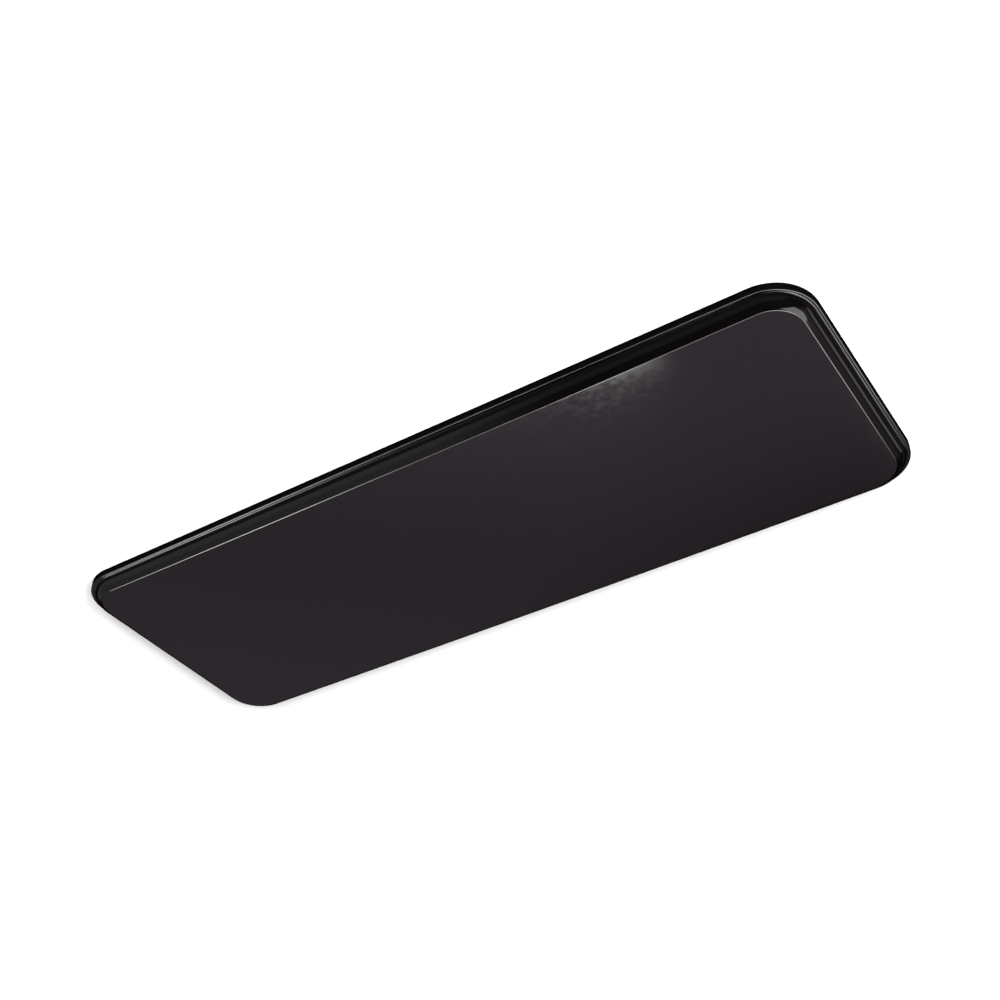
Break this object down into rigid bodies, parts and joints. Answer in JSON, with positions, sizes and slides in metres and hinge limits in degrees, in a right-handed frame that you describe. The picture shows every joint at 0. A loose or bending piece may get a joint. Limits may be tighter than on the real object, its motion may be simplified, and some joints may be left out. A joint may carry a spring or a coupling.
{
  "type": "kick plate",
  "caption": "Long gloss black door kick plate: a shallow pan with round corners, a narrow rim ledge and a rounded shoulder, stiffened inside, held by foam tape.",
  "frame": {"origin": "centre of the mounting plane, the rear face that goes against the door", "axes": "+X along the plate, +Y towards its top edge on a door, +Z out of the face"},
  "size_m": [0.864, 0.305, 0.021],
  "materials": {
    "pan_gloss_abs": "gloss",
    "core_foam": "matte",
    "rib_pvc": "satin",
    "panel_hdpe": "satin",
    "seal_epdm": "matte",
    "foam_tape": "matte",
    "release_liner": "satin"
  },
  "bodies": {
    "root": {"face_pan": "pan_gloss_abs", "core_left": "core_foam", "core_centre": "core_foam", "core_right": "core_foam", "rib_left": "rib_pvc", "rib_right": "rib_pvc", "back_panel": "panel_hdpe", "edge_seal": "seal_epdm", "tape_top": "foam_tape", "liner_top": "release_liner", "tape_bottom": "foam_tape", "liner_bottom": "release_liner", "tape_left_end": "foam_tape", "liner_left_end": "release_liner", "tape_right_end": "foam_tape", "liner_right_end": "release_liner", "tape_cross_left": "foam_tape", "liner_cross_left": "release_liner", "tape_cross_centre": "foam_tape", "liner_cross_centre": "release_liner", "tape_cross_right": "foam_tape", "liner_cross_right": "release_liner"}
  },
  "joints": []
}
